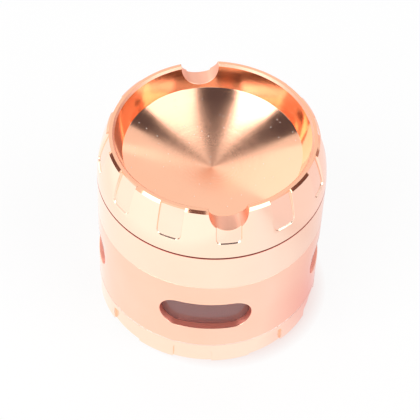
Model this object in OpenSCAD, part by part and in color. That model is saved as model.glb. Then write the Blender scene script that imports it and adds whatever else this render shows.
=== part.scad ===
// Four-piece metal herb grinder: a cup, a screened collecting chamber with windows, a toothed bowl and
// a dished lid. The pieces stack on one axis. The cup and the bowl screw to the chamber, and the lid
// turns on a nylon ring and lifts off. Threads are drawn as plain cores and bores at their true sizes.

/* [Outside] */
// Outside diameter of the stack
body_d = 63; // [61:0.5:75]
// Height of the cup at the bottom, without its thread
base_h = 7.7; // [7:0.1:10]
// Height of the window chamber
chamber_h = 25.2; // [24:0.1:34]
// Height of the bowl's plain band
band_h = 12.2; // [11:0.1:16]
// Height of the lid, from the seam under it to its rim
lid_h = 15.1; // [14:0.1:18]
// Open seam between the lid and the bowl's band
seam = 0.4; // [0.2:0.05:0.6]
// Broken edge on every turned outside corner
edge = 0.1; // [0.1:0.05:0.4]

/* [Lid] */
// Inset of the flat rim's outer edge from the outside of the stack
rim_inset = 3.5; // [3.2:0.1:4.5]
// Width of the flat rim
rim_w = 0.9; // [0.6:0.1:1.2]
// Chamfer outside the flat rim
rim_chamfer = 0.7; // [0.4:0.1:1]
// Chamfer inside the flat rim, at the dish's mouth
mouth_chamfer = 0.55; // [0.3:0.05:0.8]
// Bulge of the lid's side away from a straight taper
side_bulge = 0.6; // [0.2:0.1:1]
// Depth of the dish's wall below the rim
wall_depth = 6.7; // [6:0.1:7.5]
// Draft of the dish's wall, as how far its foot stands in from the chamfer at its mouth
wall_draft = 2.1; // [1:0.05:2.5]
// Thickness of the lid under the dish's deepest point
lid_floor = 1.9; // [1.5:0.1:3]
// Angle of the lid as it rests on the bowl
lid_angle = 10; // [0:1:90]

/* [Rim notches] */
// Diameter of the round cutter
notch_d = 10.4; // [9:0.1:12]
// Depth of the cutter's axis below the rim
notch_sink = 0.4; // [0:0.1:1]
// Number of notches
notch_count = 2; // [1:1:4]

/* [Grip pockets] */
// Number of pockets round the lid
pocket_count = 12; // [8:1:14]
// Width of a lid pocket
pocket_w = 6.8; // [5:0.1:8]
// Depth of a lid pocket at the rim
pocket_depth = 0.7; // [0.5:0.05:0.9]
// How much shallower the pockets' floor would be if it ran down to the seam
pocket_fade = 0.5; // [0:0.05:0.6]
// Distance of a lid pocket's lower end below the rim
pocket_len = 9.7; // [8:0.1:10.5]
// Radius of a pocket's inner corners
pocket_corner = 1.5; // [0.8:0.1:2]
// Number of pockets round the cup
cup_pocket_count = 9; // [6:1:10]
// Width of a cup pocket
cup_pocket_w = 11; // [8:0.1:13]
// Height of a cup pocket above the ground
cup_pocket_h = 6; // [5:0.1:6.5]
// Depth of a cup pocket below the surface round it
cup_pocket_depth = 0.8; // [0.5:0.05:1]
// Angle of the first cup pocket
cup_angle = -5.9; // [-15:0.1:15]

/* [Windows] */
// Number of windows
window_count = 4; // [2:1:4]
// Height of a window
window_h = 10.5; // [8:0.1:12]
// Angle between the centres of a window's two round ends
window_span = 28.1; // [15:0.1:40]
// Height of a window's lower edge above the ring that holds the screen
sill_rise = 0.8; // [0.5:0.1:2]
// Thickness of the clear sleeve
sleeve_wall = 1.4; // [1:0.1:2]
// Step between the socket's wall and the sleeve's bore, which stops the bowl's skirt
sleeve_step = 0.4; // [0.3:0.05:0.6]
// Gap that leaves the sleeve room under the bowl
sleeve_play = 0.2; // [0.1:0.05:0.4]

/* [Threads] */
// Height of a thread, which is also how far it lifts before it lets go
thread_h = 3; // [2:0.5:4]
// Plain register between a thread and its shoulder
register_h = 1; // [0.8:0.1:1.5]
// Depth of a thread, from crest to core
thread_depth = 0.55; // [0.4:0.05:0.7]
// Metal outside a thread
thread_wall = 1.6; // [1.4:0.05:2.6]
// Metal inside a thread, on the cup's collar and on the bowl's skirt
collar_wall = 2; // [1.5:0.05:3]

/* [Cup] */
// Thickness of the cup's floor
cup_floor = 1.6; // [1.2:0.1:2.5]
// Cove between the cup's floor and wall
cup_cove = 4; // [2:0.5:5]
// Chamfer under the cup
foot_chamfer = 0.6; // [0.4:0.1:1]

/* [Screen] */
// Thickness of the woven screen
screen_t = 0.2; // [0.15:0.05:0.4]
// Thickness of the ledge that carries the screen
ledge_t = 1.1; // [0.8:0.1:1.6]
// Width of the ledge
ledge_w = 2.25; // [1.5:0.05:3]
// Thickness of the ring that holds the screen down
clamp_t = 1.2; // [0.8:0.1:1.5]

/* [Bowl] */
// Thickness of the bowl's perforated floor
plate_t = 2.2; // [1.6:0.1:3]
// Height of the floor's underside above the bowl's shoulder
plate_rise = 0.4; // [0.2:0.1:1]
// Thickness of the wall round the teeth
crown_wall = 2.4; // [2:0.1:3]
// Drop of the lid's underside below the top of the bowl's band
roof_drop = 0.1; // [0:0.1:1]
// Height of the crown that enters the lid
crown_h = 3.8; // [3.4:0.1:4.5]
// Diameter of a drain hole
hole_d = 3.7; // [3:0.1:3.9]
// Cove between the bowl's floor and wall
bowl_cove = 0.8; // [0.5:0.1:1.5]

/* [Nylon ring] */
// Width of the nylon ring
nylon_w = 1.7; // [1.3:0.1:1.9]
// Height of the nylon ring
nylon_h = 2.6; // [2:0.1:3]
// How far the ring stands above the crown
nylon_proud = 0.2; // [0.1:0.05:0.3]
// How far the ring stands outside the crown
nylon_step = 0.5; // [0.3:0.05:0.7]
// Thickness of the lid's skirt outside the ring
lid_skirt = 1.55; // [1.2:0.05:2]

/* [Teeth] */
// Length of a tooth along its ring
tooth_l = 4.6; // [3.5:0.1:5]
// Width of a tooth across its ring
tooth_w = 2.6; // [2:0.1:2.7]
// Free space between the post and the first ring of teeth
post_margin = 2.9; // [2.5:0.1:3.2]
// Free space between the last ring of teeth and the bowl's wall
wall_margin = 2.5; // [2:0.1:3]
// Free height over the end of a tooth
tooth_gap = 0.7; // [0.4:0.1:1]

/* [Magnets] */
// Diameter of a magnet
magnet_d = 7; // [5:0.5:8]
// Thickness of a magnet
magnet_t = 2; // [1.5:0.1:2.5]
// Metal round a magnet
magnet_wall = 1.5; // [1:0.1:1.8]
// Free height between the two magnets
magnet_gap = 0.4; // [0.2:0.1:0.8]

/* [Fits] */
// Radial clearance of a running or sliding fit
run_fit = 0.05; // [0.03:0.01:0.08]
// Radial clearance of a loose drop-in fit
loose_fit = 0.2; // [0.15:0.05:0.3]
// Free height over the end of a thread
end_fit = 0.2; // [0.1:0.05:0.3]

/* [Hidden] */
$fn = 96;
e = 0.01;

// Heights of the seams, from the ground up
body_r = body_d / 2;
chamber_z = base_h;
bowl_z = chamber_z + chamber_h;
crown_z = bowl_z + band_h;
lid_z = crown_z + seam;
top_z = crown_z + lid_h;

// Threads
female_r = body_r - thread_wall;
register_r = female_r - run_fit;
core_r = register_r - thread_depth;
collar_r = core_r - collar_wall;
spigot_h = register_h + thread_h;
socket_h = spigot_h + end_fit;

// Chamber
sleeve_bore_r = female_r - sleeve_step;
ledge_z = chamber_z + socket_h;
screen_z = ledge_z + ledge_t;
clamp_z = screen_z + screen_t;
sleeve_z = clamp_z + clamp_t;
skirt_z = bowl_z - spigot_h;
sleeve_top_z = skirt_z - sleeve_play;
ledge_r = sleeve_bore_r - ledge_w;
window_z = sleeve_z + sill_rise + window_h / 2;

// Bowl
plate_z = bowl_z + plate_rise;
floor_z = plate_z + plate_t;
crown_top_z = crown_z + crown_h;
nylon_r = body_r - lid_skirt - run_fit;
crown_r = nylon_r - nylon_step;
cavity_r = crown_r - crown_wall;
seat_r = nylon_r - nylon_w;
nylon_top_z = crown_top_z + nylon_proud;
nylon_z = nylon_top_z - nylon_h;

// Lid
roof_z = crown_z - roof_drop;
apex_z = roof_z + lid_floor;
rim_r = body_r - rim_inset;
mouth_r = rim_r - rim_w;
foot_r = mouth_r - mouth_chamfer - wall_draft;
foot_z = top_z - wall_depth;
plug_r = cavity_r - 2 * loose_fit;

// Teeth and drain holes, ring by ring from the middle
post_r = magnet_d / 2 + magnet_wall;
ring_1 = post_r + post_margin + tooth_w / 2;
ring_5 = cavity_r - wall_margin - tooth_w / 2;
ring_step = (ring_5 - ring_1) / 4;
ring_2 = ring_1 + ring_step;
ring_3 = ring_1 + 2 * ring_step;
ring_4 = ring_1 + 3 * ring_step;
lid_rings = [[ring_1, 4], [ring_3, 8], [ring_5, 12]];
bowl_rings = [[ring_2, 6], [ring_4, 10]];
hole_rings = [[ring_1, 9], [ring_3, 15], [ring_5, 21]];
tooth_h = roof_z - floor_z - tooth_gap;

// Ends of the two posts and seats of their magnets
posts_z = (roof_z + floor_z) / 2;
bowl_post_z = posts_z - magnet_gap / 2;
lid_post_z = posts_z + magnet_gap / 2;

// Points of a circular arc from a to b that bulges by s to the right of the way there
function arc(a, b, s, n = 8) =
    let (d = b - a, c = norm(d), r = (c * c / 4 + s * s) / (2 * s), u = d / c, v = [u[1], -u[0]],
         m = (a + b) / 2 - v * (r - s), h = asin(c / 2 / r))
    [for (i = [0 : n]) let (t = h * (2 * i / n - 1)) m + r * (v * cos(t) + u * sin(t))];

// Points of a quarter circle about c, from angle a to angle b
function turn(c, r, a, b, n = 6) =
    [for (i = [0 : n]) let (t = a + (b - a) * i / n) c + r * [cos(t), sin(t)]];

module revolve(points) {
    rotate_extrude() polygon(points);
}

module tube(r_out, r_in, z, h) {
    translate([0, 0, z])
        difference() {
            cylinder(r = r_out, h = h);
            translate([0, 0, -1]) cylinder(r = r_in, h = h + 2);
        }
}

// Copies its children round the axis. Copy 0 stands at the given angle from the front, which is -Y.
module ring_of(count, angle = 0) {
    for (i = [0 : count - 1])
        rotate(angle + i * 360 / count) children();
}

// Slab that reaches out to the front with two round corners at one end. It spans from z_round, where
// the corners are, to z_open.
module round_slab(w, z_round, z_open) {
    up = z_open > z_round ? 1 : -1;
    r = pocket_corner;
    translate([0, 0, z_round]) rotate([90, 0, 0]) linear_extrude(body_r + 5) {
        for (x = [-1, 1]) translate([x * (w / 2 - r), up * r]) circle(r);
        translate([-(w / 2 - r), min(0, up * r)]) square([w - 2 * r, r]);
        translate([-w / 2, up > 0 ? r : z_open - z_round]) square([w, abs(z_open - z_round) - r]);
    }
}

// Ring of diamond teeth that point up from z
module teeth(rings, z, h) {
    diamond = [[-tooth_w / 2, 0], [0, -tooth_l / 2], [tooth_w / 2, 0], [0, tooth_l / 2]];
    for (ring = rings)
        ring_of(ring[1]) translate([ring[0], 0, z]) linear_extrude(h) polygon(diamond);
}

// Core of a male thread that points up, with its register at the shoulder, which is at 0
module spigot() {
    revolve([[0, -e], [register_r, -e], [register_r, register_h], [core_r, register_h],
             [core_r, spigot_h - edge], [core_r - edge, spigot_h], [0, spigot_h]]);
}

// The cup that catches what falls through the screen. Its collar screws into the chamber.
module base() {
    color("#E9B79C") difference() {
        union() {
            revolve([[0, 0], [body_r - foot_chamfer, 0], [body_r, foot_chamfer],
                     [body_r, base_h - edge], [body_r - edge, base_h], [0, base_h]]);
            translate([0, 0, base_h]) spigot();
        }
        revolve(concat([[0, cup_floor]],
                       turn([collar_r - cup_cove, cup_floor + cup_cove], cup_cove, -90, 0),
                       [[collar_r, base_h + spigot_h + 1], [0, base_h + spigot_h + 1]]));
        ring_of(cup_pocket_count, cup_angle) difference() {
            round_slab(cup_pocket_w, cup_pocket_h, -1);
            translate([0, 0, -2]) cylinder(r = body_r - cup_pocket_depth, h = base_h + 2);
        }
    }
}

// Clear sleeve behind the windows
module window_sleeve() {
    r = sleeve_bore_r - run_fit;
    color("#CFC4C4", 0.4) tube(r, r - sleeve_wall, sleeve_z, sleeve_top_z - sleeve_z);
}

// One window: a slot milled as the wall turns past the cutter, so that its round ends are radial
module window_cut() {
    depth = body_r - ledge_r + 1;
    rotate(-90 - window_span / 2) rotate_extrude(angle = window_span)
        translate([ledge_r, window_z - window_h / 2]) square([depth, window_h]);
    for (side = [0, 1]) mirror([side, 0, 0])
        rotate(window_span / 2) translate([0, -ledge_r, window_z]) rotate([90, 0, 0])
            linear_extrude(depth) intersection() {
                circle(d = window_h);
                translate([0, -window_h]) square([window_h, 2 * window_h]);
            }
}

// The chamber's wall, with a threaded socket at each end and a ledge for the screen
module chamber() {
    color("#F0BFA2") difference() {
        revolve([[0, chamber_z], [body_r - edge, chamber_z], [body_r, chamber_z + edge],
                 [body_r, bowl_z - edge], [body_r - edge, bowl_z], [0, bowl_z]]);
        translate([0, 0, chamber_z - 1]) cylinder(r = female_r, h = socket_h + 1);
        translate([0, 0, ledge_z - 1]) cylinder(r = ledge_r, h = chamber_h);
        translate([0, 0, screen_z]) cylinder(r = sleeve_bore_r, h = chamber_h);
        translate([0, 0, bowl_z - socket_h]) cylinder(r = female_r, h = socket_h + 1);
        ring_of(window_count) window_cut();
    }
}

// The woven screen, as a plain disc
module screen() {
    color("#B9B9B4") translate([0, 0, screen_z])
        cylinder(r = sleeve_bore_r - loose_fit, h = screen_t);
}

// The ring that holds the screen's edge down on its ledge
module screen_ring() {
    r = sleeve_bore_r - run_fit;
    color("#F0BFA2")
        revolve([[ledge_r, clamp_z], [r, clamp_z], [r, sleeve_z], [ledge_r + edge, sleeve_z],
                 [ledge_r, sleeve_z - edge]]);
}

// The toothed bowl: a plain band, a skirt that screws into the chamber, a floor with drain holes, a
// crown that carries the nylon ring, and a post for the magnet
module bowl() {
    color("#F3C9AE") {
        difference() {
            union() {
                revolve([[0, bowl_z], [body_r - edge, bowl_z], [body_r, bowl_z + edge],
                         [body_r, crown_z - edge], [body_r - edge, crown_z], [0, crown_z]]);
                translate([0, 0, crown_z - e]) cylinder(r = crown_r, h = nylon_z - crown_z + e);
                translate([0, 0, crown_z - e]) cylinder(r = seat_r, h = crown_h + e);
                translate([0, 0, bowl_z]) mirror([0, 0, 1]) spigot();
            }
            revolve(concat([[0, floor_z]],
                           turn([cavity_r - bowl_cove, floor_z + bowl_cove], bowl_cove, -90, 0, 3),
                           [[cavity_r, crown_top_z + 1], [0, crown_top_z + 1]]));
            translate([0, 0, skirt_z - 1]) cylinder(r = collar_r, h = plate_z - skirt_z + 1);
            for (ring = hole_rings)
                ring_of(ring[1]) translate([ring[0], 0, plate_z - 1]) cylinder(d = hole_d, h = plate_t + 2);
        }
        teeth(bowl_rings, floor_z - e, tooth_h + e);
        difference() {
            translate([0, 0, floor_z - e]) cylinder(r = post_r, h = bowl_post_z - floor_z + e);
            translate([0, 0, bowl_post_z - magnet_t])
                cylinder(d = magnet_d + 2 * run_fit, h = magnet_t + 1);
        }
    }
}

module magnet(z) {
    color("#A8A8AC")
        revolve([[0, z], [magnet_d / 2 - edge, z], [magnet_d / 2, z + edge],
                 [magnet_d / 2, z + magnet_t - edge], [magnet_d / 2 - edge, z + magnet_t],
                 [0, z + magnet_t]]);
}

module bowl_magnet() {
    magnet(bowl_post_z - magnet_t);
}

// Nylon ring in the crown's rebate, which the lid rests and turns on
module friction_ring() {
    color("#F4F1EA") tube(nylon_r, seat_r + run_fit, nylon_z, nylon_h);
}

// The lid's side, from its lower edge to the lower edge of the rim's chamfer, moved in by these depths
function side(low, high) =
    arc([body_r - low, lid_z + edge], [rim_r + rim_chamfer - high, top_z - rim_chamfer], side_bulge);

// The dished lid: a cone inside a short wall, a flat rim with notches, pockets round its side, a skirt
// over the bowl's crown, and teeth and a magnet post underneath
module lid() {
    skirt_r = nylon_r + run_fit;
    color("#F3C9AE") rotate(lid_angle) {
        difference() {
            revolve(concat([[0, roof_z], [plug_r, roof_z], [plug_r, nylon_top_z],
                            [skirt_r, nylon_top_z], [skirt_r, lid_z], [body_r - edge, lid_z]],
                           side(0, 0),
                           [[rim_r, top_z], [mouth_r, top_z],
                            [mouth_r - mouth_chamfer, top_z - mouth_chamfer],
                            [foot_r, foot_z], [0, apex_z]]));
            difference() {
                ring_of(pocket_count) round_slab(pocket_w, top_z - pocket_len, top_z + 1);
                revolve(concat([[0, lid_z]], side(pocket_depth - pocket_fade, pocket_depth),
                               [[rim_r, top_z], [rim_r, top_z + 2], [0, top_z + 2]]));
            }
            ring_of(notch_count) translate([0, 0, top_z - notch_sink]) rotate([90, 0, 0]) {
                cylinder(d = notch_d, h = body_r);
                translate([-notch_d / 2, 0, 0]) cube([notch_d, notch_sink + 1, body_r]);
            }
        }
        translate([0, 0, roof_z + e]) mirror([0, 0, 1]) teeth(lid_rings, 0, tooth_h + e);
        difference() {
            translate([0, 0, lid_post_z]) cylinder(r = post_r, h = roof_z - lid_post_z + e);
            translate([0, 0, lid_post_z - 1])
                cylinder(d = magnet_d + 2 * run_fit, h = magnet_t + 1);
        }
    }
}

module lid_magnet() {
    magnet(lid_post_z);
}

base();
window_sleeve();
chamber();
screen();
screen_ring();
bowl();
bowl_magnet();
friction_ring();
lid();
lid_magnet();
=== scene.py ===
import math

import bpy
from mathutils import Matrix, Vector


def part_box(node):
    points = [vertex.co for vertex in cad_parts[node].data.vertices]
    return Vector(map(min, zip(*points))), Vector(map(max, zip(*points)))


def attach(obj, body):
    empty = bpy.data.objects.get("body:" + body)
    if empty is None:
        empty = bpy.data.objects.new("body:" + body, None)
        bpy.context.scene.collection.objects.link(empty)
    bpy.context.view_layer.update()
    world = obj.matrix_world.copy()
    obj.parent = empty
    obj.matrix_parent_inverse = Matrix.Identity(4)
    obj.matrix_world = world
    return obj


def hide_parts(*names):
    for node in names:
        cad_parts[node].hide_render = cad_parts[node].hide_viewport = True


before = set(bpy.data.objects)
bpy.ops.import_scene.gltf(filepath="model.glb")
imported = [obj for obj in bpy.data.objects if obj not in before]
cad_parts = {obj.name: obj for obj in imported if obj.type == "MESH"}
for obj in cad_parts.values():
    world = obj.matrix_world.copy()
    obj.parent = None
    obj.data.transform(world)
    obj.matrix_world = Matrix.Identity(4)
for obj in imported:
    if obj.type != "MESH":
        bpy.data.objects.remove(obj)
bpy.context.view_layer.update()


# ------------------------------------------------------------------------------------------ cup
# The cup at the bottom is turned from aluminium bar and anodised in a rose tone. Nine shallow
# recesses are milled round its foot, and its collar carries a short male thread.
MM = 0.001  # the frame is in metres


def linear(hex_colour):
    """Turn an sRGB hex colour into the linear colour that a shader takes."""
    parts = [int(hex_colour[i:i + 2], 16) / 255 for i in (1, 3, 5)]
    return [c / 12.92 if c <= 0.04045 else ((c + 0.055) / 1.055) ** 2.4 for c in parts] + [1]


def add(tree, kind, inputs={}, **settings):
    """Add a node, set its properties, and set or link its inputs."""
    node = tree.nodes.new(kind)
    for name, value in settings.items():
        setattr(node, name, value)
    for name, value in inputs.items():
        if isinstance(value, bpy.types.NodeSocket):
            tree.links.new(value, node.inputs[name])
        else:
            node.inputs[name].default_value = value
    return node


def new_material(name):
    """Start a material, and give it with its node tree and its surface shader."""
    material = bpy.data.materials.new(name)
    material.use_nodes = True
    tree = material.node_tree
    return material, tree, tree.nodes["Principled BSDF"]


def cover(obj, *materials):
    """Give an object its materials."""
    obj.data.materials.clear()
    for material in materials:
        obj.data.materials.append(material)


def smooth(obj, degrees=28):
    """Shade an object smooth, with edges that turn by more than this left sharp."""
    obj.data.shade_smooth()
    obj.data.set_sharp_from_angle(angle=math.radians(degrees))


def new_piece(name, points, faces, body, slot, *materials):
    """Make a piece from points in millimetres, and let it ride on a body."""
    mesh = bpy.data.meshes.new(name)
    mesh.from_pydata([[c * MM for c in point] for point in points], [], faces)
    mesh.validate()
    mesh.update()
    obj = bpy.data.objects.new(name, mesh)
    bpy.context.scene.collection.objects.link(obj)
    cover(obj, *materials)
    smooth(obj)
    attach(obj, body)
    return obj


def anodised(name, pale, deep, haze_low, haze_high, edges_and_seam_shade=()):
    """Anodised aluminium, turned: a rosy metal with a faint haze. The lathe leaves rings about 0.05 mm
    apart, drawn at 0.35 mm so that they show, and the dye is slightly uneven over some 12 mm. Each edge
    is a height and a reach in millimetres, where the outside was broken with a fine abrasive and looks
    matt, and a depth of painted shade: there the colour is painted deep red, for the shade of a seam or
    the foot, where light goes back and forth between rosy faces."""
    ring_width, patch_width, outside_r = 0.35 * MM, 12 * MM, 31.0 * MM
    matt_roughness, painted_seam_shade = 0.5, linear("#B8483E")
    material, tree, shader = new_material(name)
    where = add(tree, "ShaderNodeTexCoord").outputs["Object"]
    axes = add(tree, "ShaderNodeSeparateXYZ", {"Vector": where})
    level = add(tree, "ShaderNodeCombineXYZ", {"X": axes.outputs["X"], "Y": axes.outputs["Y"]})
    radius = add(tree, "ShaderNodeVectorMath", {0: level.outputs[0]}, operation="LENGTH").outputs["Value"]
    lathe = add(tree, "ShaderNodeCombineXYZ", {"X": radius, "Y": axes.outputs["Z"]})
    rings = add(tree, "ShaderNodeTexNoise", {"Vector": lathe.outputs[0], "Scale": 1 / ring_width,
                                             "Detail": 2.0})
    patches = add(tree, "ShaderNodeTexNoise", {"Vector": where, "Scale": 1 / patch_width, "Detail": 2.0})
    colour = add(tree, "ShaderNodeMix", {"Factor": patches.outputs["Fac"], "A": linear(deep),
                                         "B": linear(pale)}, data_type="RGBA").outputs["Result"]
    roughness = add(tree, "ShaderNodeMapRange", {"Value": rings.outputs["Fac"], "To Min": haze_low,
                                                 "To Max": haze_high}).outputs["Result"]
    groove = add(tree, "ShaderNodeBump", {"Height": rings.outputs["Fac"], "Strength": 0.05,
                                          "Distance": 0.02 * MM})
    for height, reach, depth in edges_and_seam_shade:
        near = add(tree, "ShaderNodeMath", {0: axes.outputs["Z"], 1: height * MM, 2: reach * MM},
                   operation="COMPARE")
        outside = add(tree, "ShaderNodeMath", {0: radius, 1: outside_r}, operation="GREATER_THAN")
        edge = add(tree, "ShaderNodeMath", {0: near.outputs[0], 1: outside.outputs[0]},
                   operation="MULTIPLY").outputs[0]
        matt = add(tree, "ShaderNodeMath", {0: edge, 1: matt_roughness}, operation="MULTIPLY")
        roughness = add(tree, "ShaderNodeMath", {0: roughness, 1: matt.outputs[0]},
                        operation="MAXIMUM").outputs[0]
        # Painted shade: near a seam or the cup's foot, the colour is painted towards deep red.
        if depth:
            share = add(tree, "ShaderNodeMath", {0: edge, 1: depth}, operation="MULTIPLY")
            colour = add(tree, "ShaderNodeMix", {"Factor": share.outputs[0], "A": colour, "B": painted_seam_shade},
                         data_type="RGBA").outputs["Result"]
    tree.links.new(colour, shader.inputs["Base Color"])
    tree.links.new(roughness, shader.inputs["Roughness"])
    tree.links.new(groove.outputs["Normal"], shader.inputs["Normal"])
    shader.inputs["Metallic"].default_value = 1.0
    return material, tree, shader, radius, colour, roughness


# The cup, the bowl and the lid took a pale dye, which looks creamy where it mirrors white paper.
# Heights are in millimetres: the cup's foot, the top of the bowl's band and the foot of the lid. At the
# band's top and the lid's foot the colour is painted deep red, as a painted seam shade.
pale_dye, turned_haze = ("#FFE2CB", "#FFDCC4"), (0.10, 0.17)
foot, band_top, lid_foot = 0.12, 45.1, 45.55
cup_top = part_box("chamber")[0][2] / MM
foot_half, edge_half = 0.16, 0.11
pale_anodised = anodised("anodised_aluminium_pale", *pale_dye, *turned_haze,
                         edges_and_seam_shade=((band_top, edge_half, 0.9), (lid_foot, edge_half, 0.8)))[0]

# The ends of the cup's recesses run out on the cutter's radius and stay satin. Their colour is painted
# paler, a painted lightening that hides the orange which light bouncing between the recess walls gives.
run_out_r, run_out_half, satin_roughness = 31.33, 0.13, 0.5
# The cup's foot gets a painted shadow and its top a painted seam shade, both deep red.
cup_anodised, tree, shader, radius, colour, roughness = anodised(
    "anodised_aluminium_cup", *pale_dye, *turned_haze,
    edges_and_seam_shade=((foot, foot_half, 0.5), (cup_top, edge_half, 0.8)))
run_out = add(tree, "ShaderNodeMath", {0: radius, 1: run_out_r * MM, 2: run_out_half * MM},
              operation="COMPARE")
satin = add(tree, "ShaderNodeMath", {0: run_out.outputs[0], 1: satin_roughness}, operation="MULTIPLY")
satin = add(tree, "ShaderNodeMath", {0: satin.outputs[0], 1: roughness}, operation="MAXIMUM")
painted_paler_run_out = add(tree, "ShaderNodeMix", {"Factor": run_out.outputs[0], "A": colour, "B": linear("#FFF3EA")},
            data_type="RGBA")
tree.links.new(satin.outputs[0], shader.inputs["Roughness"])
tree.links.new(painted_paler_run_out.outputs["Result"], shader.inputs["Base Color"])

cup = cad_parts["base"]
cover(cup, cup_anodised)
smooth(cup)


def thread(name, body, root_r, crest_r, z_low, z_high, start=0.0):
    """Wind one ridge of a right-hand thread, which runs out at both ends."""
    pitch, root_half, crest_half, root_depth = 1.5, 0.52, 0.12, 0.15
    steps, fade_steps = 96, 12
    sink = root_depth if crest_r > root_r else -root_depth
    turns = (z_high - z_low - 2 * root_half) / pitch
    count = int(turns * steps)
    points, faces = [], []
    for i in range(count + 1):
        angle = start + 2 * math.pi * i / steps
        z = z_low + root_half + pitch * i / steps
        share = min(1.0, i / fade_steps, (count - i) / fade_steps)
        tip = root_r + (crest_r - root_r) * share
        for r, dz in ((root_r - sink, -root_half), (root_r, -root_half), (tip, -crest_half),
                      (tip, crest_half), (root_r, root_half), (root_r - sink, root_half)):
            points.append((r * math.sin(angle), -r * math.cos(angle), z + dz))
        if i:
            a, b = 6 * (i - 1), 6 * i
            faces += [(a + k, b + k, b + (k + 1) % 6, a + (k + 1) % 6) for k in range(6)]
    faces += [tuple(range(6)), tuple(range(6 * count + 5, 6 * count - 1, -1))]
    if crest_r < root_r:
        faces = [face[::-1] for face in faces]
    return new_piece(name, points, faces, body, "rose_metal", pale_anodised)


# The two ends of the chamber have the same bore, one step wider than the one for the window sleeve. The
# plain register above or below a thread lines the pieces up.
thread_h, register_h, thread_depth, bore_step, play = 3.0, 1.0, 0.55, 0.4, 0.05
sleeve_bore_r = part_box("window_sleeve")[1][0] / MM + play
bore_r = sleeve_bore_r + bore_step
core_r, crest_r = bore_r - play - thread_depth, bore_r - 2 * play
thread("cup_thread", "cup", core_r, crest_r, cup_top + register_h, cup_top + register_h + thread_h)


# -------------------------------------------------------------------------------------- chamber
# The chamber is a turned aluminium tube, anodised like the cup. Four window slots are milled through
# its wall while the tube turns past the cutter, and their edges are broken. Each end has a socket
# with a female thread, and a ledge inside carries the screen.
def spin(angle, offset, r, z):
    """Point at radius r, at an angle from the front in degrees, moved sideways by an offset."""
    turn = math.radians(angle) + math.asin(offset / r)
    return (r * math.sin(turn), -r * math.cos(turn), z)


def round_corner(a, b):
    """Bend a square corner round: a and b are the ways from the corner's centre along both sides."""
    if a <= 0 or b <= 0:
        return a, b
    reach = max(a, b)
    turn = math.pi / 4 * b / a if a >= b else math.pi / 4 * (2 - a / b)
    return reach * math.cos(turn), reach * math.sin(turn)


def fall(gap, edge):
    """How far an edge's profile lies below the surface, at this gap outside its foot."""
    for (g1, d1), (g2, d2) in zip(edge, edge[1:]):
        if gap >= g2:
            return d1 + (d2 - d1) * (min(gap, g1) - g1) / (g2 - g1)
    return edge[-1][1]


def grid_faces(columns, rows, skip=None):
    """Faces of a grid that closes on itself both ways, without the cells that skip names."""
    faces = []
    for i in range(columns):
        for j in range(rows):
            if not (skip and skip(i, j)):
                a, b, k = i * rows, (i + 1) % columns * rows, (j + 1) % rows
                faces.append((a + j, b + j, b + k, a + k))
    return faces


chamber_low, chamber_high = (Vector(corner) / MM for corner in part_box("chamber"))
body_r = chamber_high.x
bevel, ledge_width = 0.1, 2.25
ledge_r = sleeve_bore_r - ledge_width
ledge_low, ledge_high, sleeve_stop = 11.9, 13.0, 28.7
below_window, above_window = (11, 14), (28, 30.5)
window_z, window_r, window_half = 20.45, 5.25, 14.05
window_turns = (0, 90, 180, 270)
# The profile of a broken edge: the gap outside the slot's wall, and the depth below the surface
broken_edge = [(0.16, 0.0), (0.10, 0.012), (0.05, 0.045), (0.015, 0.10), (0.0, 0.16)]
edge_reach = [window_r + gap for gap, depth in broken_edge[::-1]]
arc_reach = [window_r * share for share in (0.17, 0.34, 0.5, 0.67, 0.84)]

# One column of the grid is the window's own angle, an angle from its middle, a side, and the way past
# the window's straight part. The last one stands midway to the next window. A row is a height from the
# window's middle line.
half = ([(window_half * share, 0.0) for share in (0.25, 0.5, 0.75, 1.0)]
        + [(window_half, reach) for reach in arc_reach + edge_reach]
        + [(window_half + more, edge_reach[-1]) for more in (3, 7, 12)])
midway_turn = 35.1
one_window = [(-turn, -1, reach) for turn, reach in half[::-1]] + [(0.0, 1, 0.0)] \
    + [(turn, 1, reach) for turn, reach in half] + [(midway_turn, 1, edge_reach[-1])]
window_columns = [(centre, *column) for centre in window_turns for column in one_window]
heights = arc_reach + edge_reach
window_rows = [-b for b in heights[::-1]] + [0.0] + heights


def chamber_section(centre, turn, side, reach):
    """Section of the chamber at one column: up the outside, over the top and down the inside."""
    low, high = chamber_low.z, chamber_high.z

    def along_window(r, b, broken=False):
        """Point on the grid that bends round the window's ends, b above its middle line."""
        a, lifted = round_corner(reach, abs(b)) if abs(turn) <= window_half else (reach, abs(b))
        depth = fall(max(reach, abs(b)) - window_r, broken_edge) if broken else 0.0
        return spin(centre + turn, side * a, r - depth, window_z + math.copysign(lifted, b))

    def plain(r, z):
        """Point of the column above or below the window."""
        return spin(centre + turn, side * reach, r, z)

    return ([plain(body_r - bevel, low), plain(body_r, low + bevel)]
            + [plain(body_r, z) for z in below_window]
            + [along_window(body_r, b, broken=True) for b in window_rows]
            + [plain(body_r, z) for z in above_window]
            + [plain(body_r, high - bevel), plain(body_r - bevel, high),
               plain(bore_r + bevel, high), plain(bore_r, high - bevel),
               plain(bore_r, sleeve_stop), plain(sleeve_bore_r, sleeve_stop)]
            + [along_window(sleeve_bore_r, b) for b in window_rows[::-1]]
            + [plain(sleeve_bore_r, ledge_high), plain(ledge_r, ledge_high), plain(ledge_r, ledge_low),
               plain(bore_r, ledge_low), plain(bore_r, low + bevel), plain(bore_r + bevel, low)])


points = [point for column in window_columns for point in chamber_section(*column)]
count, rows = len(window_columns), len(points) // len(window_columns)
# First row of the window outside, rows between the two windows, and last row of the window inside
outer_start, rows_between = 2 + len(below_window), len(above_window) + 6
inner_end = outer_start + 2 * len(window_rows) + rows_between - 1


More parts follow.
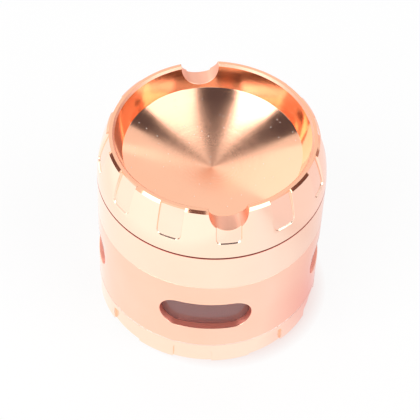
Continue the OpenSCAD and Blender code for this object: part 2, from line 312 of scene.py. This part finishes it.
def in_window(i, j):
    """Say whether the grid's cell i, j lies in a window, where j counts the window's own rows."""
    if not 0 <= j < len(window_rows) - 1:
        return False
    beside = (window_columns[k % count] for k in (i, i + 1))
    reaches = [reach if abs(turn) <= window_half else math.inf for centre, turn, side, reach in beside]
    return max(reaches + [abs(window_rows[j]), abs(window_rows[j + 1])]) <= window_r + 1e-6


faces = grid_faces(count, rows, lambda i, j: in_window(i, j - outer_start) or in_window(i, inner_end - j - 1))
turned_faces = len(faces)
for i in range(count):
    for j in range(len(window_rows) - 1):
        if in_window(i, j):
            k = (i + 1) % count
            for (c1, r1), (c2, r2), beside in (((i, j), (k, j), in_window(i, j - 1)),
                                               ((k, j), (k, j + 1), in_window(k, j)),
                                               ((k, j + 1), (i, j + 1), in_window(i, j + 1)),
                                               ((i, j + 1), (i, j), in_window(i - 1, j))):
                if not beside:
                    faces.append((c1 * rows + outer_start + r1, c2 * rows + outer_start + r2,
                                  c2 * rows + inner_end - r2, c1 * rows + inner_end - r1))

# The chamber took a deeper dye than the cup and the bowl, so it looks pinker.
# At its foot, the seam with the cup, the colour is painted deep red as a painted seam shade.
deep_anodised = anodised("anodised_aluminium_deep", "#FFD2BA", "#FFC9AF", *turned_haze,
                         edges_and_seam_shade=((chamber_low.z, edge_half, 0.8), (chamber_high.z, edge_half, 0.0)))[0]
# The slots' walls are cut with an end mill and keep its fine marks, so they look satin. Their colour is a
# painted shade, a deeper red, which stands in for the light that goes back and forth between them.
slot_anodised_painted_shade = anodised("anodised_aluminium_slot_painted_shade", "#FFB5A3", "#F8A594", 0.40, 0.50)[0]
chamber = new_piece("chamber_wall", points, faces, "chamber", "rose_metal", deep_anodised, slot_anodised_painted_shade)
for face in chamber.data.polygons:
    face.material_index = 1 if face.index >= turned_faces else 0
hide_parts("chamber")
lead_in, run_clear = 1.2, 0.2
thread("chamber_lower_thread", "chamber", bore_r, core_r + play, chamber_low.z + lead_in,
       ledge_low - run_clear, math.pi)
thread("chamber_upper_thread", "chamber", bore_r, core_r + play, sleeve_stop + run_clear,
       chamber_high.z - register_h, math.pi)


# -------------------------------------------------------------------------- screen and its ring
# The screen is plain-woven stainless wire, held on the ledge by a pressed-in aluminium ring. Real wire
# of 0.06 mm stands at a 0.2 mm spacing. It is drawn 0.1 mm thick at 0.7 mm, so that the weave shows.
wire_d, spacing = 0.1, 0.7
screen_low, screen_high = (Vector(corner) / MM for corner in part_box("screen"))
reach, level = screen_high.x, (screen_low.z + screen_high.z) / 2
points, faces = [], []
wires = int(reach / spacing)
for along in (0, 1):
    for n in range(-wires, wires + 1):
        place = n * spacing
        ends = int(math.sqrt(reach ** 2 - place ** 2) / spacing)
        for m in range(-ends, ends + 1):
            rise = wire_d / 2 * (1 if (m + n + along) % 2 else -1)
            for du, dz in ((-0.5, 0.0), (0.0, 0.5), (0.5, 0.0), (0.0, -0.5)):
                u, v = place + du * wire_d, m * spacing
                points.append((v, u, level + rise + dz * wire_d) if along
                              else (u, v, level + rise + dz * wire_d))
            if m > -ends:
                a, b = len(points) - 8, len(points) - 4
                faces += [(a + k, a + (k + 1) % 4, b + (k + 1) % 4, b + k) for k in range(4)]

# Stainless steel wire, drawn through a die: a cool grey with a soft shine that varies along the wire
steel, tree, shader = new_material("stainless_steel_wire")
grain = add(tree, "ShaderNodeTexNoise", {"Vector": add(tree, "ShaderNodeTexCoord").outputs["Object"],
                                         "Scale": 1 / (0.4 * MM), "Detail": 1.0})
drawn = add(tree, "ShaderNodeMapRange", {"Value": grain.outputs["Fac"], "To Min": 0.22, "To Max": 0.34})
tree.links.new(drawn.outputs["Result"], shader.inputs["Roughness"])
shader.inputs["Base Color"].default_value = linear("#C9C8C4")
shader.inputs["Metallic"].default_value = 1.0
screen = new_piece("woven_screen", points, faces, "chamber", "steel_mesh", steel)
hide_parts("screen")

cover(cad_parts["screen_ring"], deep_anodised)
smooth(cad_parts["screen_ring"])


# -------------------------------------------------------------------------------- window sleeve
# The sleeve behind the windows is a ring cut from clear acrylic tube. It drops into the chamber from
# above, onto the screen's ring, and the bowl's skirt stops it there.

# Clear acrylic, extruded: sharp reflections, a slight waviness and a rosy grey tint through its wall
acrylic, tree, shader = new_material("clear_acrylic_extruded")
ripple = add(tree, "ShaderNodeTexNoise", {"Vector": add(tree, "ShaderNodeTexCoord").outputs["Object"],
                                          "Scale": 1 / (9.0 * MM), "Detail": 1.0})
wave = add(tree, "ShaderNodeBump", {"Height": ripple.outputs["Fac"], "Strength": 0.08,
                                    "Distance": 0.05 * MM})
tree.links.new(wave.outputs["Normal"], shader.inputs["Normal"])
shader.inputs["Base Color"].default_value = linear("#DFA8A4")
shader.inputs["Transmission Weight"].default_value = 0.8
shader.inputs["Roughness"].default_value = 0.03
shader.inputs["IOR"].default_value = 1.49
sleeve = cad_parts["window_sleeve"]
cover(sleeve, acrylic)
smooth(sleeve)


# ----------------------------------------------------------------------------------------- bowl
# The bowl is milled from one piece of aluminium: two rings of diamond teeth, a floor with drain
# holes, a post for the magnet, a crown for the nylon ring, and a skirt with a male thread.
cover(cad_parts["bowl"], pale_anodised)
smooth(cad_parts["bowl"])
bowl_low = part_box("bowl")[0][2] / MM
thread("bowl_thread", "bowl", core_r, crest_r, bowl_low, bowl_low + thread_h)


# -------------------------------------------------------------------------------------- magnets
# Two pressed neodymium discs hold the lid down: one in the bowl's post and one in the lid's.
# Each is glued into a blind seat and plated with nickel: bright, slightly warm and slightly pitted.
nickel, tree, shader = new_material("nickel_plating")
pits = add(tree, "ShaderNodeTexNoise", {"Vector": add(tree, "ShaderNodeTexCoord").outputs["Object"],
                                        "Scale": 1 / (0.8 * MM), "Detail": 3.0})
plated = add(tree, "ShaderNodeMapRange", {"Value": pits.outputs["Fac"], "To Min": 0.12, "To Max": 0.24})
tree.links.new(plated.outputs["Result"], shader.inputs["Roughness"])
shader.inputs["Base Color"].default_value = linear("#C8C3B8")
shader.inputs["Metallic"].default_value = 1.0
for name in ("bowl_magnet", "lid_magnet"):
    cover(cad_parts[name], nickel)
    smooth(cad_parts[name])


# ----------------------------------------------------------------------------------- nylon ring
# The lid turns on a ring of natural nylon, cut from tube and pushed over the bowl's crown.
# Nylon is milky white and waxy, and light goes a millimetre deep. The cutting left faint marks.
nylon, tree, shader = new_material("natural_nylon")
milk = add(tree, "ShaderNodeTexNoise", {"Vector": add(tree, "ShaderNodeTexCoord").outputs["Object"],
                                        "Scale": 1 / (0.6 * MM), "Detail": 2.0})
cut = add(tree, "ShaderNodeBump", {"Height": milk.outputs["Fac"], "Strength": 0.15,
                                   "Distance": 0.03 * MM})
waxy = add(tree, "ShaderNodeMapRange", {"Value": milk.outputs["Fac"], "To Min": 0.38, "To Max": 0.5})
tree.links.new(cut.outputs["Normal"], shader.inputs["Normal"])
tree.links.new(waxy.outputs["Result"], shader.inputs["Roughness"])
shader.inputs["Base Color"].default_value = linear("#F3EFE4")
shader.inputs["Subsurface Weight"].default_value = 0.2
shader.inputs["Subsurface Scale"].default_value = 1.0 * MM
cover(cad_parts["friction_ring"], nylon)
smooth(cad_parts["friction_ring"])


# ------------------------------------------------------------------------------------------ lid
# The lid is turned and milled from one piece: a cone-shaped dish inside a short wall, a flat rim with
# chamfers on both sides, two round notches cut across it, and twelve pockets round its side that
# run out through the rim. A skirt under it drops over the bowl's crown.
seam_z, rim_z = 45.5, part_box("lid")[1][2] / MM
rim_r, mouth_r, rim_chamfer, mouth_chamfer = 28.0, 27.1, 0.7, 0.55
foot_r, foot_z, apex_z = 24.45, 53.5, 46.9
shoulder_z = rim_z - rim_chamfer
lid_angle, pockets = 10, 12
pocket_half, pocket_corner, pocket_low = 3.4, 1.5, rim_z - 9.7
notch_r, notch_z, notch_edge, notch_round = 5.2, rim_z - 0.4, 0.13, 0.02
# The profile of a pocket's edge: the gap outside its wall, and the share of its depth
pocket_edge = [(0.10, 0.0), (0.03, 0.05), (-0.03, 0.25), (-0.12, 0.75), (-0.17, 0.93), (-0.25, 1.0)]
hair = 0.05
edge_end = pocket_edge[0][0] + hair
# Under the lid: the skirt, the seat on the nylon ring, the plug, its roof, the post and the magnet's seat
skirt_r, ring_top, plug_r, roof_z = 29.95, 49.1, 26.6, 45.0
post_r, post_z, seat_r, seat_z = 5.0, 40.45, 3.55, 42.45
break_w, plug_bevel, axis_r = 0.15, 0.2, 0.2
under_profile = [(body_r - bevel, seam_z), (skirt_r + break_w, seam_z), (skirt_r, seam_z + break_w),
                 (skirt_r, ring_top), (plug_r, ring_top), (plug_r, roof_z + plug_bevel),
                 (plug_r - plug_bevel, roof_z), (post_r, roof_z), (post_r, post_z + plug_bevel),
                 (post_r - plug_bevel, post_z), (seat_r, post_z), (seat_r, seat_z), (axis_r, seat_z)]
# Rows of the grid: radii in the dish, then heights above its foot, which has a small round, then
# shares of the wall from wall_start up
dish_radii = (0.12, 0.5, 1.2, 2.5, 4.5, 7, 10, 13, 16, 19, 21.5, 23.2, 24.0)
foot_round, foot_rows, wall_start = 0.04, (0.06, 0.4), 0.7
wall_shares = (0.0, 0.2, 0.45, 0.7, 1.0)
steady_z, row_step = 52.6, 1.2
corner_rows, low_heights = (0.0, 0.3, 0.6, 0.9), (49.8, 49.0, 48.0, 47.0, 46.2)
outside_x = 9.0  # stands for the column midway between two pockets


def bulged(low, high, rise):
    """Radius as a function of height, on an arc from low to high that bulges outwards by rise."""
    chord = high - low
    arc_r = (chord.length ** 2 / 4 + rise ** 2) / (2 * rise)
    out = Vector((chord.y, -chord.x)).normalized()
    centre = (low + high) / 2 - out * (arc_r - rise)
    return lambda z: centre.x + math.sqrt(arc_r ** 2 - (z - centre.y) ** 2)


bulge, pocket_foot_depth = 0.6, 0.2
side_r = bulged(Vector((body_r, seam_z + bevel)), Vector((rim_r + rim_chamfer, shoulder_z)), bulge)
pocket_r = bulged(Vector((body_r - pocket_foot_depth, seam_z + bevel)), Vector((rim_r, shoulder_z)), bulge)


def outer_r(z):
    """Radius of the lid's side and its rim's outer chamfer at a height."""
    return side_r(z) if z <= shoulder_z else rim_r + rim_z - z


def wall_r(z):
    """Radius of the dish's wall at a height."""
    share = (z - foot_z) / (rim_z - mouth_chamfer - foot_z)
    return foot_r + (mouth_r - mouth_chamfer - foot_r) * share


def lid_section(centre, x, edge_x, notched):
    """Section of the lid at one column: from the dish's middle over the rim and down the side, then
    along the underside to the middle of the magnet's seat. The column lies x to the side of a pocket's
    middle line, and past edge_x the columns spread evenly to the next pocket."""
    across = abs(x)

    def at(r, z, x=x, hold=None):
        """Point at a radius and a height, with x measured along a circle of radius hold."""
        hold = hold or max(r, foot_r)
        if abs(x) > edge_x:
            share = (abs(x) - edge_x) / (outside_x - edge_x)
            inner = math.degrees(math.asin(edge_x / hold))
            return spin(centre + math.copysign(inner + (180 / pockets - inner) * share, x), 0, r, z)
        return spin(centre + math.degrees(math.asin(x / hold)), 0, r, z)

    def surface(z, nominal):
        """Radius of the side at a height, with the pocket's depth that the row's nominal height has."""
        gap = max(across - pocket_half, pocket_low - nominal)
        share = fall(gap, pocket_edge) if across <= pocket_half + edge_end else 0.0
        floor = pocket_r(z) if z <= shoulder_z else rim_r
        return outer_r(z) + (floor - outer_r(z)) * share

    # Beside a notch, the rim drops by a hair, which breaks the notch's edge.
    top, outer_edge, inner_edge = rim_z, rim_chamfer, mouth_chamfer
    if notched and across <= notch_r:
        top = notch_z - math.sqrt(notch_r ** 2 - across ** 2)
        outer_edge = inner_edge = notch_edge
    elif notched and across < notch_r + hair:
        top = rim_z - hair

    # The dish, its rounded corner and its wall
    slope = (foot_z - apex_z) / foot_r
    line = [at(r, apex_z + slope * r) for r in (*dish_radii, foot_r - foot_round)]
    line += [at(wall_r(foot_z + rise), foot_z + rise) for rise in foot_rows]
    wall_low, wall_high = foot_z + wall_start, top - inner_edge
    for share in wall_shares:
        z = wall_low + (wall_high - wall_low) * share
        line.append(at(wall_r(z), z))

    # The rim and its outer chamfer, or the notch's floor and its broken edges
    if top >= rim_z - hair:
        line += [at(mouth_r, top), at(rim_r, top)]
        line += [at(surface(z, z), z) for z in (rim_z - rim_chamfer / 2, shoulder_z)]
    else:
        line += [at(wall_r(top) + notch_edge, top), at(surface(top, top) - notch_edge, top)]
        mid_z, low_z = top - notch_edge / 3, top - notch_edge
        line += [at(surface(mid_z, top) - notch_round, mid_z), at(surface(low_z, top), low_z)]

    # The side down to the pocket's corners. Above steady_z the rows crowd together under a notch.
    squeeze = (top - outer_edge - steady_z) / (shoulder_z - steady_z)
    for k in range(5, -1, -1):
        z = steady_z + row_step * k * squeeze
        line.append(at(surface(z, z), z))
    corner_z = pocket_low + pocket_corner
    for nominal in [corner_z - b for b in corner_rows] \
            + [pocket_low - gap for gap, share in pocket_edge[::-1]] \
            + [*low_heights, seam_z + bevel]:
        a, b = across - (pocket_half - pocket_corner), corner_z - nominal
        z, moved_x = nominal, x
        if a > 0 and b > 0 and max(a, b) <= pocket_corner + edge_end:
            a, b = round_corner(a, b)
            moved_x, z = math.copysign(pocket_half - pocket_corner + a, x), corner_z - b
        line.append(at(surface(z, nominal), z, moved_x))
    return line + [at(r, z, hold=body_r) for r, z in under_profile]


# Columns by their way sideways from a pocket's middle line: over the pocket, on to the next one, and
# the same where a notch cuts the rim
near = [0.65, 1.3, 1.9, 2.2, 2.5, 2.8] + [pocket_half + gap for gap, share in pocket_edge[::-1]]
plain_half = near + [4.1, 4.9, 5.9, 7.2]
notch_half = near + [3.75, 4.0, 4.3, 4.6, 4.85, 5.0, 5.1, 5.16, 5.19, notch_r, notch_r + 0.02,
                     notch_r + 0.1, 5.7, 6.6, 7.7]
sections = []
for n in range(pockets):
    notched = n in (0, pockets / 2)
    side = notch_half if notched else plain_half
    edge_x = notch_r + 0.1 if notched else near[-1]
    for x in [-v for v in side[::-1]] + [0.0] + side + [outside_x]:
        sections.append(lid_section(lid_angle + 360 / pockets * n, x, edge_x, notched))
points = [point for line in sections for point in line]
count, rows = len(sections), len(sections[0])
faces = grid_faces(count, rows, lambda i, j: j == rows - 1)
points += [(0, 0, apex_z), (0, 0, seat_z)]
for i in range(count):
    k = (i + 1) % count
    faces.append((i * rows, count * rows, k * rows))
    faces.append((i * rows + rows - 1, k * rows + rows - 1, count * rows + 1))
turned_faces = len(faces)

# Diamond teeth of the lid, ring by ring, with their ends' edges broken
tooth_half_l, tooth_half_w, tooth_h, tooth_root, tooth_break, tooth_tip = 2.3, 1.3, 8.8, 0.3, 0.2, 0.86
tooth_rings = ((9.2, 4), (16.2, 8), (23.2, 12))
tooth_low = roof_z - tooth_h
for ring_r, number in tooth_rings:
    for n in range(number):
        t = math.radians(lid_angle + 360 * n / number)
        first = len(points)
        for grow, z in ((1.0, roof_z + tooth_root), (1.0, tooth_low + tooth_break),
                        (tooth_tip, tooth_low)):
            for dx, dy in ((1, 0), (0, 1), (-1, 0), (0, -1)):
                u, v = ring_r + dx * grow * tooth_half_w, dy * grow * tooth_half_l
                points.append((u * math.cos(t) - v * math.sin(t), u * math.sin(t) + v * math.cos(t), z))
        for level in (0, 4):
            faces += [(first + level + (k + 1) % 4, first + level + k, first + level + 4 + k,
                       first + level + 4 + (k + 1) % 4) for k in range(4)]
        faces += [tuple(first + k for k in range(4)), tuple(first + 8 + k for k in (3, 2, 1, 0))]

# The dish, the rim and its chamfers are turned last, with a diamond tool: a deeper and brighter mirror.
# The cut slows towards the middle of the dish, so its haze grows there and breaks up into fine grit.
bright_anodised, tree, shader, radius, colour, roughness = anodised(
    "anodised_aluminium_bright", "#FFC5A4", "#FFBF9C", -0.03, 0.05)
slow_r, gritty_r, grit_width = 21 * MM, 12 * MM, 0.1 * MM
slow_cut = add(tree, "ShaderNodeMapRange", {"Value": radius, "From Max": slow_r, "To Min": 0.36,
                                            "To Max": 0.08})
haze = add(tree, "ShaderNodeMath", {0: slow_cut.outputs["Result"], 1: roughness})
grit = add(tree, "ShaderNodeTexNoise", {"Vector": add(tree, "ShaderNodeTexCoord").outputs["Object"],
                                        "Scale": 1 / grit_width, "Detail": 0.0})
scatter = add(tree, "ShaderNodeMapRange", {"Value": grit.outputs["Fac"], "From Min": 0.3, "From Max": 0.7,
                                           "To Min": -0.045, "To Max": 0.045}, clamp=True)
gritty = add(tree, "ShaderNodeMapRange", {"Value": radius, "From Min": slow_r, "From Max": gritty_r})
scatter = add(tree, "ShaderNodeMath", {0: scatter.outputs["Result"], 1: gritty.outputs["Result"]},
              operation="MULTIPLY")
worn = add(tree, "ShaderNodeMath", {0: haze.outputs[0], 1: scatter.outputs[0]})

# A few grains of dust lie in the dish: pale specks up to 0.3 mm across, some 2 mm apart.
dust_spacing, grain_share, dust_r, dust_roughness = 2.0 * MM, 0.075, 23.5 * MM, 0.6
grains = add(tree, "ShaderNodeTexVoronoi", {"Vector": add(tree, "ShaderNodeTexCoord").outputs["Object"],
                                            "Scale": 1 / dust_spacing})
grain = add(tree, "ShaderNodeMath", {0: grains.outputs["Distance"], 1: grain_share}, operation="LESS_THAN")
in_dish = add(tree, "ShaderNodeMath", {0: radius, 1: dust_r}, operation="LESS_THAN")
grain = add(tree, "ShaderNodeMath", {0: grain.outputs[0], 1: in_dish.outputs[0]}, operation="MULTIPLY")
dull = add(tree, "ShaderNodeMath", {0: grain.outputs[0], 1: dust_roughness}, operation="MULTIPLY")
worn = add(tree, "ShaderNodeMath", {0: worn.outputs[0], 1: dull.outputs[0]}, operation="MAXIMUM")
dusty = add(tree, "ShaderNodeMix", {"Factor": grain.outputs[0], "A": colour, "B": linear("#FFEFE2")},
            data_type="RGBA")
tree.links.new(worn.outputs[0], shader.inputs["Roughness"])
tree.links.new(dusty.outputs["Result"], shader.inputs["Base Color"])

# The step under the lid shows only as a thin line. Its colour is a painted shade, deep red, standing in
# for the light that goes back and forth many times between two rosy faces.
painted_shade_step_anodised = anodised("anodised_aluminium_step_painted_shade", "#F08878", "#E87C6C", 0.45, 0.55)[0]
# The notches are cut with an end mill, whose fine marks look satin. The pockets are cut with a finer
# one and look nearly as bright as the turned side.
milled_anodised = anodised("anodised_aluminium_milled", "#FFC8AE", "#FBBA9F", 0.42, 0.55)[0]
pocket_anodised = anodised("anodised_aluminium_pocket", "#FFDEC9", "#FFD8C0", 0.16, 0.24)[0]
lid = new_piece("dished_lid", points, faces, "lid", "rose_metal", pale_anodised, bright_anodised,
                milled_anodised, pocket_anodised, painted_shade_step_anodised)
smooth(lid, 20)
bright, milled, pocket, painted_shade_step = 1, 2, 3, 4
# The side's rows start at rim_end, and a notch's floor is the three rows at the rim's inner edge.
rim_end = len(dish_radii) + 1 + len(foot_rows) + len(wall_shares) + 3
notch_rows = range(rim_end - 4, rim_end - 1)
side_end = rows - len(under_profile)
notch_drop, pocket_drop, painted_shade_step_rows = 0.2, 0.12, 3
for face in lid.data.polygons:
    row = min(vertex % rows for vertex in face.vertices) if max(face.vertices) < count * rows else 0
    x, y, z = face.center / MM
    if row in notch_rows and z < rim_z - notch_drop:
        face.material_index = milled
    elif rim_end <= row < side_end and math.hypot(x, y) < outer_r(z) - pocket_drop:
        face.material_index = pocket
    elif row < rim_end and face.index < turned_faces:
        face.material_index = bright
    # The step's rows get the painted deep red shade.
    elif side_end <= row < side_end + painted_shade_step_rows:
        face.material_index = painted_shade_step
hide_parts("lid")


# --------------------------------------------------------------------------------------- studio
# A white paper floor, a pale sky, seven softboxes, and dark, brown and grey cards. The cards give the
# turned faces something dark to mirror, as is usual in a studio for polished metal.
def rays(tree):
    """Give two sockets: 1 on the camera's own rays, and 1 on rays that come by metal or acrylic."""
    path = add(tree, "ShaderNodeLightPath")
    mirrored = add(tree, "ShaderNodeMath", {0: path.outputs["Is Glossy Ray"],
                                            1: path.outputs["Is Transmission Ray"]}, operation="MAXIMUM")
    return path.outputs["Is Camera Ray"], mirrored.outputs[0]


world = bpy.data.worlds.new("pale_sky")
bpy.context.scene.world = world
world.use_nodes = True
tree = world.node_tree
sky = tree.nodes["Background"]
sky.inputs["Color"].default_value = linear("#FFFFFF")
sky.inputs["Strength"].default_value = 0.6
white = add(tree, "ShaderNodeBackground", {"Color": linear("#FFFFFF"), "Strength": 1.0})
direct, mirrored = rays(tree)
seen = add(tree, "ShaderNodeMath", {0: direct, 1: mirrored}, operation="MAXIMUM")
mix = add(tree, "ShaderNodeMixShader", {"Fac": seen.outputs[0], 1: sky.outputs[0], 2: white.outputs[0]})
tree.links.new(mix.outputs[0], tree.nodes["World Output"].inputs["Surface"])

# White paper: matt, and lit by the lamps in a small part, which keeps the object's shadow. In a mirror it
# glows instead with a painted light: brightest towards the key light at the front left, and behind the
# object, on the right, with a painted rosy shade of the object.
glow_share, back_right = 0.85, math.radians(50)
brightest, farthest = -100 * MM, 60 * MM
paper, tree, shader = new_material("white_paper")
shader.inputs["Base Color"].default_value = linear("#F2F2F2")
shader.inputs["Roughness"].default_value = 0.9
where = add(tree, "ShaderNodeTexCoord").outputs["Object"]
place = add(tree, "ShaderNodeSeparateXYZ", {"Vector": where})
sideways = add(tree, "ShaderNodeMath", {0: place.outputs["X"], 1: math.sin(back_right)},
               operation="MULTIPLY")
away = add(tree, "ShaderNodeMath", {0: place.outputs["Y"], 1: math.cos(back_right), 2: sideways.outputs[0]},
           operation="MULTIPLY_ADD")
along = add(tree, "ShaderNodeMapRange", {"Value": away.outputs[0], "From Min": brightest,
                                         "From Max": farthest})
painted_floor_ramp = add(tree, "ShaderNodeValToRGB", {"Fac": along.outputs["Result"]})
painted_floor_shades = ((0.0, "#FFFFFF"), (0.19, "#F6F1F0"), (0.44, "#F0F0F0"), (0.67, "#EBEBEF"),
          (0.8, "#E5E1E3"), (0.9, "#DFCECD"), (1.0, "#E5D4D4"))
while len(painted_floor_ramp.color_ramp.elements) < len(painted_floor_shades):
    painted_floor_ramp.color_ramp.elements.new(0.5)
for element, (position, painted_floor_shade) in zip(painted_floor_ramp.color_ramp.elements, painted_floor_shades):
    element.position, element.color = position, linear(painted_floor_shade)

# A painted rosy shadow of the object on the paper at its right, which only a mirror sees
painted_shadow_middle, painted_shadow_reach = (30 * MM, -8 * MM, 0), 24 * MM
from_painted_shadow = add(tree, "ShaderNodeVectorMath", {0: where, 1: painted_shadow_middle}, operation="DISTANCE")
painted_floor_shade = add(tree, "ShaderNodeMapRange", {"Value": from_painted_shadow.outputs["Value"], "From Max": painted_shadow_reach,
                                         "To Min": 1.0, "To Max": 0.0})
painted_rosy_shadow = add(tree, "ShaderNodeMix", {"Factor": painted_floor_shade.outputs["Result"], "A": painted_floor_ramp.outputs["Color"],
                                   "B": linear("#F2C2C4")}, data_type="RGBA", blend_type="MULTIPLY")
painted_floor_light = add(tree, "ShaderNodeEmission", {"Color": painted_rosy_shadow.outputs["Result"], "Strength": 1.3})

# Seen directly, the paper is white, with a faint painted rosy shadow beside the foot, on the front right.
painted_contact_middle, contact_near, contact_far = (3.5 * MM, -2 * MM, 0), 27 * MM, 31.8 * MM
from_foot = add(tree, "ShaderNodeVectorMath", {0: where, 1: painted_contact_middle}, operation="DISTANCE")
painted_contact_shadow = add(tree, "ShaderNodeMapRange", {"Value": from_foot.outputs["Value"], "From Min": contact_near,
                                           "From Max": contact_far, "To Min": 1.0, "To Max": 0.0})
painted_contact_colour = add(tree, "ShaderNodeMix", {"Factor": painted_contact_shadow.outputs["Result"], "A": linear("#FFFFFF"),
                                    "B": linear("#F5E4E1")}, data_type="RGBA")
white_glow_with_painted_shadow = add(tree, "ShaderNodeEmission", {"Color": painted_contact_colour.outputs["Result"], "Strength": 1.0})
direct, mirrored = rays(tree)
mirrored = add(tree, "ShaderNodeMath", {0: mirrored, 1: glow_share}, operation="MULTIPLY")
direct = add(tree, "ShaderNodeMath", {0: direct, 1: glow_share}, operation="MULTIPLY")
mix = add(tree, "ShaderNodeMixShader", {"Fac": mirrored.outputs[0], 1: shader.outputs[0],
                                        2: painted_floor_light.outputs[0]})
mix = add(tree, "ShaderNodeMixShader", {"Fac": direct.outputs[0], 1: mix.outputs[0], 2: white_glow_with_painted_shadow.outputs[0]})
tree.links.new(mix.outputs[0], tree.nodes["Material Output"].inputs["Surface"])

# The middle of the lid's dish, which the cards and softboxes face
dish = Vector((0, 0, 50 * MM))


def toward(azimuth, height, distance):
    """Place at an azimuth from the front, an elevation and a distance in metres, seen from the dish."""
    a, e = math.radians(azimuth), math.radians(height)
    return dish + distance * Vector((math.sin(a) * math.cos(e), -math.cos(a) * math.cos(e), math.sin(e)))


def card(name, place, width, height, material, facing=dish):
    """Stand a flat card at a place, facing a point."""
    mesh = bpy.data.meshes.new(name)
    w, h = width / 2, height / 2
    mesh.from_pydata([(-w, -h, 0), (w, -h, 0), (w, h, 0), (-w, h, 0)], [], [(0, 1, 2, 3)])
    obj = bpy.data.objects.new(name, mesh)
    bpy.context.scene.collection.objects.link(obj)
    cover(obj, material)
    obj.location = place
    if facing != place:
        obj.rotation_euler = (facing - place).to_track_quat("Z", "Y").to_euler()
    return obj


origin, floor_side = Vector((0, 0, 0)), 4
card("floor", origin, floor_side, floor_side, paper, facing=origin)

# Matt card in three shades, which only metal and acrylic see. The ceiling card makes the dark fans in
# the dish, and the camera card makes the dark dash on the front chamfer of the rim.
ceiling, below_ceiling = Vector((0, 0.075, 1.05)), Vector((0, 0.075, 0))
card_kinds = (
    ("black_card", "#57525A", (("ceiling_card", ceiling, 1.4, 1.35, below_ceiling),)),
    ("brown_card", "#785953", (("camera_card", toward(-13.5, 39.5, 1.3), 0.32, 0.15, dish),
                               ("left_card", toward(-105, 11, 1.3), 0.4, 0.5, dish),
                               ("right_card", toward(95, 18, 1.3), 0.6, 0.6, dish))),
    ("grey_card", "#C0A09C", (("right_back_card", toward(130, 14, 1.3), 0.9, 0.55, dish),)))
for kind, colour, cards in card_kinds:
    matt_card, tree, shader = new_material(kind)
    shader.inputs["Base Color"].default_value = linear(colour)
    shader.inputs["Roughness"].default_value = 0.9
    for name, place, width, height, facing in cards:
        hidden = card(name, place, width, height, matt_card, facing)
        hidden.visible_camera = hidden.visible_diffuse = hidden.visible_shadow = False


def softbox(name, azimuth, height, distance, width, tall, radiance):
    """Hang a softbox that faces the dish, and that looks this bright to it."""
    lamp = bpy.data.lights.new(name, "AREA")
    lamp.shape = "RECTANGLE"
    lamp.size, lamp.size_y = width, tall
    lamp.energy = radiance * math.pi * width * tall
    obj = bpy.data.objects.new(name, lamp)
    bpy.context.scene.collection.objects.link(obj)
    obj.location = toward(azimuth, height, distance)
    obj.rotation_euler = (dish - obj.location).to_track_quat("-Z", "Y").to_euler()


softbox("back_right_softbox", 152, 65.0, 1.0, 0.20, 0.25, 2.1)
softbox("back_left_softbox", -155.5, 66.0, 1.0, 0.135, 0.185, 3.8)
softbox("low_back_left_softbox", -158, 32, 1.3, 0.50, 0.60, 0.42)
softbox("side_left_softbox", -129, 17, 1.3, 0.76, 0.45, 1.0)
softbox("side_right_softbox", 143, 36, 1.3, 0.53, 0.32, 0.35)
softbox("front_left_softbox", -47, 43, 1.2, 0.82, 0.76, 3.0)
softbox("front_right_softbox", 59, 45, 1.2, 0.75, 0.8, 2.4)

camera = bpy.data.objects.new("camera", bpy.data.cameras.new("camera"))
bpy.context.scene.collection.objects.link(camera)
bpy.context.scene.camera = camera
aim, distance = Vector((0, 0, 29.1 * MM)), 449.5 * MM
elevation, roll = math.radians(48.46), math.radians(2.64)
camera.location = aim + distance * Vector((0, -math.cos(elevation), math.sin(elevation)))
camera.rotation_mode = "QUATERNION"
look = (aim - camera.location).to_track_quat("-Z", "Y").to_matrix().to_4x4()
camera.rotation_quaternion = (look @ Matrix.Rotation(roll, 4, "Z")).to_quaternion()
camera.data.lens = 136.5
camera.data.sensor_width = 36
camera.data.clip_start = 0.01
bpy.context.scene.view_settings.view_transform = "Standard"
